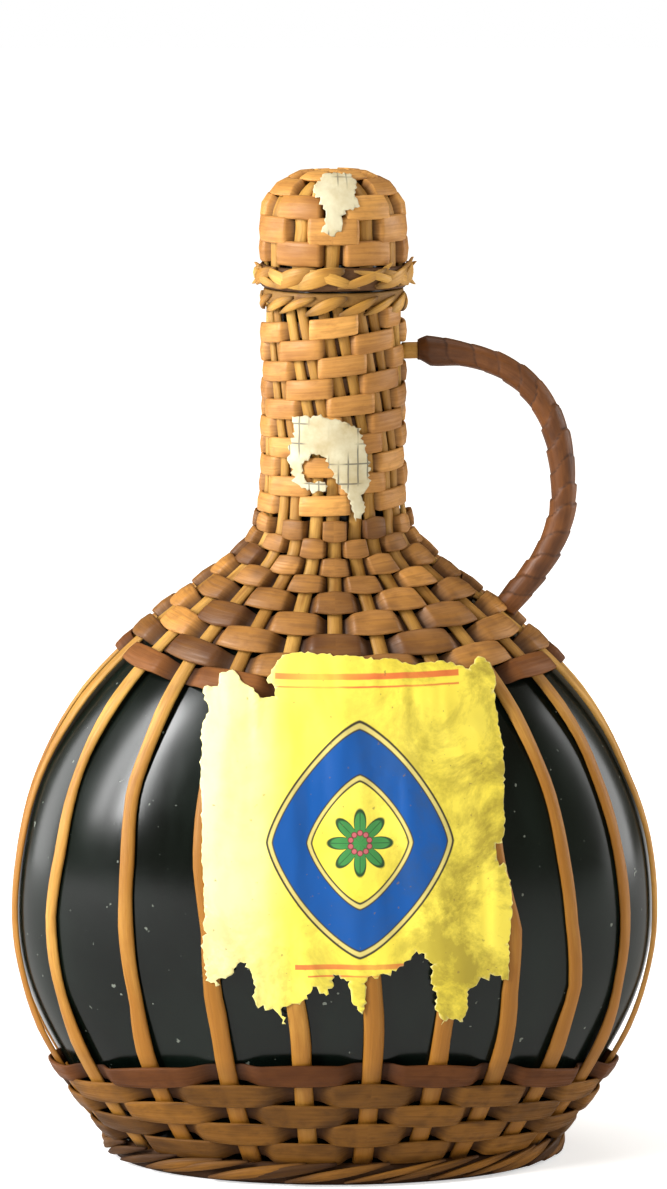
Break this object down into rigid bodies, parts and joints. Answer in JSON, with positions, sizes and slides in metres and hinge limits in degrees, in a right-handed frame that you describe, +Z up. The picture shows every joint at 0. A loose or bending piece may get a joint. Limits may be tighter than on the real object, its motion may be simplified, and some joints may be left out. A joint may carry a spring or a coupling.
{
  "type": "wicker-covered wine flask",
  "caption": "Flattened glass wine flask in a woven cane jacket, with a bark-wrapped side handle, a natural cork and a loose woven hood over the mouth.",
  "frame": {"origin": "on the resting plane under the foot, at the middle of the neck's axis", "axes": "+Z up along the neck's axis, +X from the neck towards the handle, -Y out of the labelled front"},
  "size_m": [0.1566, 0.0871, 0.2395],
  "materials": {
    "glass_green": "dark green, nearly black, dusty gloss",
    "cane_pale": "peeled cane, smooth, light tan",
    "cane_tan": "split cane, satin, warm tan",
    "bark_brown": "cane with its bark on, matt, dark reddish brown",
    "wrap_brown": "bark strip, satin, brown",
    "cork_tan": "natural cork, matt",
    "label_yellow": "old matt paper",
    "paper_cream": "old matt paper"
  },
  "bodies": {
    "flask": {"glass_bottle": "glass_green", "stakes": "cane_pale", "shoulder_band": "bark_brown", "shoulder_row_1": "cane_tan", "shoulder_row_2": "cane_tan", "shoulder_row_3": "cane_tan", "shoulder_row_4": "cane_tan", "shoulder_row_5": "cane_tan", "shoulder_row_6": "cane_tan", "shoulder_row_7": "cane_tan", "shoulder_row_8": "cane_tan", "base_band": "bark_brown", "base_row_1": "cane_tan", "base_row_2": "cane_tan", "base_row_3": "cane_tan", "base_row_4": "cane_tan", "neck_strip_lower": "cane_tan", "neck_strip_upper": "cane_tan", "neck_edge_core": "cane_pale", "neck_edge_wraps": "cane_pale", "foot_core": "cane_tan", "foot_wraps": "cane_tan", "underside_spokes": "cane_pale", "underside_rings": "cane_tan", "handle_core": "cane_pale", "handle_wrap": "wrap_brown", "label_paper": "label_yellow", "neck_seal_paper": "paper_cream"},
    "stopper": {"cork": "cork_tan"},
    "hood": {"hood_stakes": "cane_pale", "hood_row_1": "cane_tan", "hood_row_2": "cane_tan", "hood_row_3": "cane_tan", "hood_row_4": "cane_tan", "hood_row_5": "cane_tan", "hood_knot": "cane_tan", "hood_rim_core": "cane_tan", "hood_rim_wraps": "cane_pale", "hood_seal_paper": "paper_cream"}
  },
  "joints": [
    {"name": "stopper_pull", "type": "slide", "parent": "flask", "child": "stopper", "axis": [0, 0, 1], "range_m": [0, 0.05]},
    {"name": "hood_lift", "type": "slide", "parent": "stopper", "child": "hood", "axis": [0, 0, 1], "range_m": [0, 0.04]}
  ]
}
